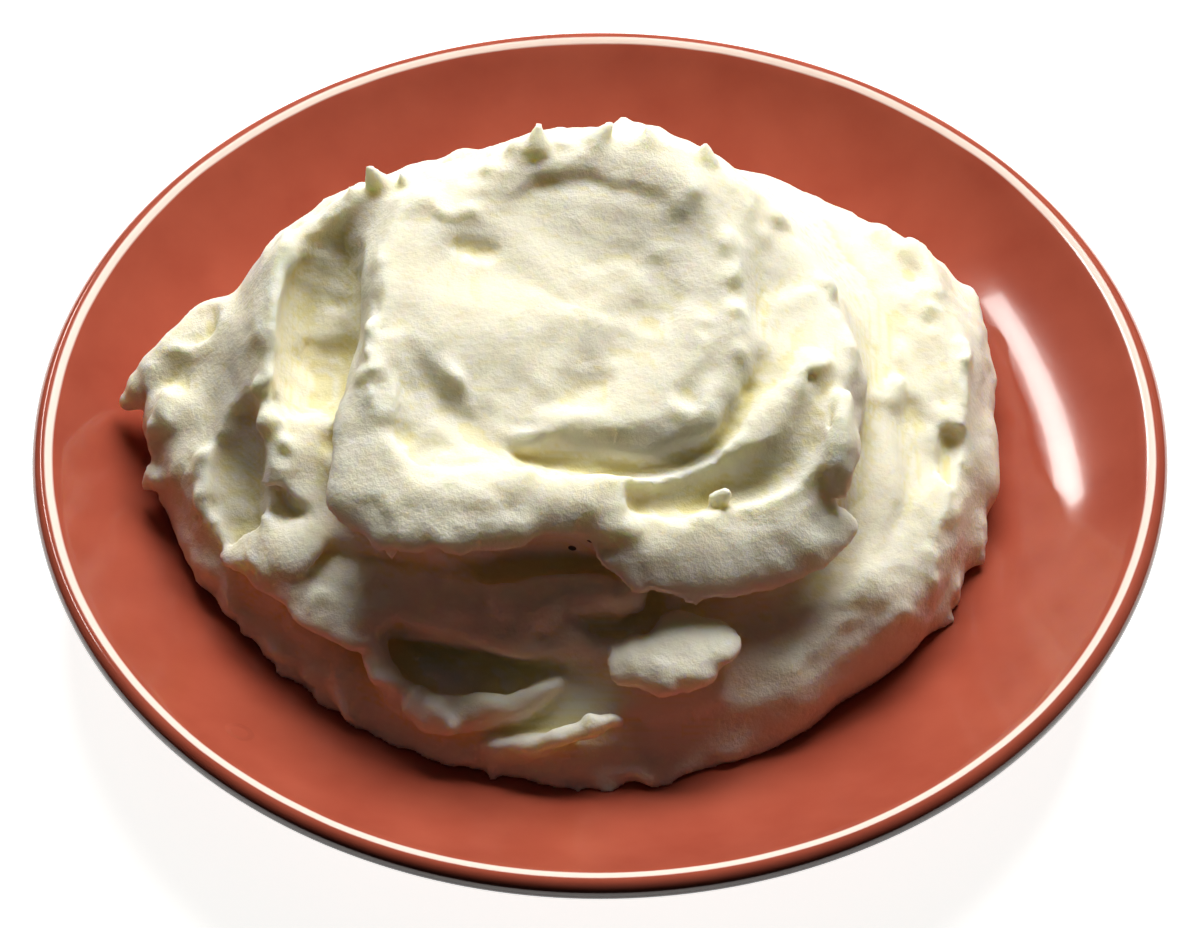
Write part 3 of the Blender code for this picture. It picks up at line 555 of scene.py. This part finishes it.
def plate_material():
    n = Nodes("terracotta_glaze")
    place = n.add("ShaderNodeTexCoord").outputs["Object"]
    parts = n.add("ShaderNodeSeparateXYZ", Vector=place)
    x, y, z = parts.outputs
    radius = n.math("SQRT", n.math("ADD", n.math("MULTIPLY", x, x), n.math("MULTIPLY", y, y)))
    mottle = n.noise(90.0, 4.0)
    glaze = n.ramp(mottle, [(0.3, (0.34, 0.066, 0.038)), (0.7, (0.40, 0.086, 0.050))])
    wobble = n.math("MULTIPLY", n.math("SUBTRACT", n.noise(45.0, 2.0), 0.5), 0.0005)
    from_edge = n.math("SUBTRACT", PLATE_RADIUS * MM, n.math("ADD", radius, wobble))
    band = n.math("MULTIPLY", from_edge, 1.0 / (RIM_HIGHLIGHT_BAND * MM))
    # Painted highlight: a pale line along the rim's crest, where the glaze reflects the light.
    line = n.ramp(band, [(0.32, (0, 0, 0)), (0.36, (1, 1, 1)), (0.50, (1, 1, 1)), (0.55, (0, 0, 0))])
    upper = n.math("GREATER_THAN", z, (CREST_HEIGHT - RIM_HIGHLIGHT_DEPTH) * MM)
    line = n.math("MULTIPLY", line, upper)
    # Painted shade: the plate's outer side below the top of the rim is painted a darker brown.
    painted_outer_shade = n.ramp(n.math("MULTIPLY", z, 1.0 / (PLATE_HEIGHT * MM)), [(0.90, (1, 1, 1)), (0.96, (0, 0, 0))])
    outside = n.math("GREATER_THAN", radius, (CREST_RADIUS + 1.0) * MM)
    glaze = n.mix(n.math("MULTIPLY", painted_outer_shade, outside), glaze, (0.20, 0.045, 0.030))
    n.set(Base_Color=n.mix(line, glaze, (0.93, 0.74, 0.66)))
    n.set(Roughness=0.13, IOR=1.5, Coat_Weight=0.4, Coat_Roughness=0.05)
    bumps = n.bump(n.noise(220.0, 2.0), 0.00002)
    pip = n.math("MINIMUM", n.spot(GLAZE_PIP, GLAZE_PIP_RADIUS), 0.4)
    n.set(Normal=n.bump(pip, 0.0005, bumps))
    return n.material


def floor_material():
    n = Nodes("floor")
    n.set(Base_Color=(0.92, 0.92, 0.90, 1.0), Roughness=0.7)
    n.set(Emission_Color=(1.0, 1.0, 0.98, 1.0), Emission_Strength=0.9)
    return n.material


# ---- Pieces


def add_object(name, points, edges, faces, material):
    """An object from points in millimetres."""
    mesh = bpy.data.meshes.new(name)
    mesh.from_pydata((np.array(points, float) * MM).tolist(), edges, faces)
    mesh.materials.append(material)
    mesh.shade_smooth()
    item = bpy.data.objects.new(name, mesh)
    bpy.context.scene.collection.objects.link(item)
    return item


def plate_profile():
    """Half section of the plate, (radius, height) from the middle of its top over the rim to the recess."""
    wall = [(r, plate_top(r)) for r in np.linspace(FLOOR_RADIUS, CREST_RADIUS - 0.3, 28)]
    rim = [
        (CREST_RADIUS + 0.5, CREST_HEIGHT + 0.15),
        (CREST_RADIUS + 1.2, PLATE_HEIGHT),
        (PLATE_RADIUS - 1.1, PLATE_HEIGHT - 0.15),
        (PLATE_RADIUS - 0.5, PLATE_HEIGHT - 0.6),
        (PLATE_RADIUS - 0.12, PLATE_HEIGHT - 1.1),
        (PLATE_RADIUS, PLATE_HEIGHT - 1.7),
        (PLATE_RADIUS - 0.12, PLATE_HEIGHT - 2.3),
        (PLATE_RADIUS - 0.5, PLATE_HEIGHT - 2.9),
    ]
    radii = np.linspace(79.5, FOOT_OUTER + 2.0, 20)
    underside = [(r + 1.0, plate_top(r) - BODY_THICKNESS) for r in radii]
    foot = [
        (FOOT_OUTER, 0.6),
        (FOOT_OUTER - 0.2, 0.2),
        (FOOT_OUTER - 0.6, 0.0),
        (FOOT_INNER + 0.6, 0.0),
        (FOOT_INNER + 0.2, 0.2),
        (FOOT_INNER, 0.6),
        (FOOT_INNER - 0.4, FOOT_HEIGHT - 0.3),
        (FOOT_INNER - 0.9, FOOT_HEIGHT),
    ]
    return [(0.0, FLOOR_TOP)] + wall + rim + underside + foot + [(0.0, FOOT_HEIGHT)]


def make_plate():
    profile = plate_profile()
    points = [(radius, 0.0, height) for radius, height in profile]
    edges = [(i, i + 1) for i in range(len(profile) - 1)]
    plate = add_object("glazed_plate", points, edges, [], plate_material())
    turn = plate.modifiers.new("turn", "SCREW")
    turn.axis = "Z"
    turn.steps = turn.render_steps = PLATE_STEPS
    turn.use_merge_vertices = True
    turn.merge_threshold = 0.00001
    turn.use_smooth_shade = True
    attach(plate, "root")
    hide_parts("plate")


def hollows(heap, points, reach=3):
    """The share of mash round each point: half on flat ground, less on a crest, more in a hollow."""
    mash = (heap.field < 0).astype(np.float32)
    for axis in (0, 0, 1, 1, 2, 2):
        mash = sum(np.roll(mash, k, axis) for k in range(-reach, reach + 1)) / (2 * reach + 1)
    cell = np.rint((points - GRID_LOW) / heap.step).astype(int)
    return mash[tuple(cell.T)].astype(np.float32)


def make_mash():
    heap = Heap(GRID_STEP)
    heap.lay_sections()
    for seed, (kind, amount, points) in enumerate(STROKES):
        if kind == "fold":
            heap.fold(points, blend=amount)
        elif kind == "leaf":
            heap.leaf(points, droop=amount)
        else:
            heap.carve(points, streak=amount, seed=seed)
    heap.roughen()
    for points in PEAKS:
        heap.fold(points, blend=1)
    heap.rest_on_plate()
    points, quads = heap.surface()
    mash = add_object("mashed_potato", points, [], quads.tolist(), mash_material())
    # The hollow share sets the painted shade in the mash's hollows and the painted light on its crests.
    hollow = mash.data.attributes.new("hollow", "FLOAT", "POINT")
    hollow.data.foreach_set("value", hollows(heap, points))
    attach(mash, "root")
    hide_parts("mash")


# ---- Stage

FLOOR_HALF = 4000.0  # millimetres
WARM = (1.0, 0.985, 0.95)
COOL = (0.95, 0.97, 1.0)
LENS = 129.8  # millimetres, on a sensor 36 wide
CAMERA_AIM = (0.0, -0.0037, 0.015)
CAMERA_AZIMUTH, CAMERA_ELEVATION = -90.0, 49.55
CAMERA_DISTANCE = 0.65


def make_floor():
    corners = [(x * FLOOR_HALF, y * FLOOR_HALF, 0.0) for x, y in ((-1, -1), (1, -1), (1, 1), (-1, 1))]
    floor = add_object("floor", corners, [], [(0, 1, 2, 3)], floor_material())
    floor.visible_diffuse = False


def toward(azimuth, elevation):
    """Unit direction: azimuth from +X towards +Y, in degrees."""
    a, e = math.radians(azimuth), math.radians(elevation)
    return Vector((math.cos(a) * math.cos(e), math.sin(a) * math.cos(e), math.sin(e)))


def add_softbox(name, azimuth, elevation, distance, size, power, colour):
    """A light of the given width and height in metres, facing the plate's middle from that far away."""
    light = bpy.data.lights.new(name, "AREA")
    light.shape = "RECTANGLE"
    light.size, light.size_y = size
    light.energy = power
    light.color = colour
    item = bpy.data.objects.new(name, light)
    bpy.context.scene.collection.objects.link(item)
    direction = toward(azimuth, elevation)
    item.location = direction * distance
    item.rotation_euler = direction.to_track_quat("Z", "Y").to_euler()
    return item


def light_scene():
    key = add_softbox("key", 82.0, 46.0, 1.0, (0.8, 0.42), 19.5, WARM)
    key.visible_glossy = False
    sheen = add_softbox("sheen", 131.0, 40.5, 1.0, (0.08, 0.52), 2.0, WARM)
    sheen.rotation_euler.rotate_axis("Z", math.radians(-34.0))
    sheen.visible_diffuse = False
    add_softbox("fill", -60.0, 60.0, 1.6, (1.4, 1.0), 0.16, COOL)
    world = bpy.data.worlds.new("studio")
    world.use_nodes = True
    background = world.node_tree.nodes["Background"]
    background.inputs["Color"].default_value = (1.0, 0.99, 0.98, 1.0)
    background.inputs["Strength"].default_value = 0.012
    bpy.context.scene.world = world
    bpy.context.scene.view_settings.view_transform = "Standard"


def add_camera():
    camera = bpy.data.cameras.new("camera")
    camera.sensor_width = 36.0
    camera.lens = LENS
    item = bpy.data.objects.new("camera", camera)
    bpy.context.scene.collection.objects.link(item)
    back = toward(CAMERA_AZIMUTH, CAMERA_ELEVATION)
    item.location = Vector(CAMERA_AIM) + back * CAMERA_DISTANCE
    item.rotation_euler = back.to_track_quat("Z", "Y").to_euler()
    bpy.context.scene.camera = item


make_plate()
make_mash()
make_floor()
light_scene()
add_camera()
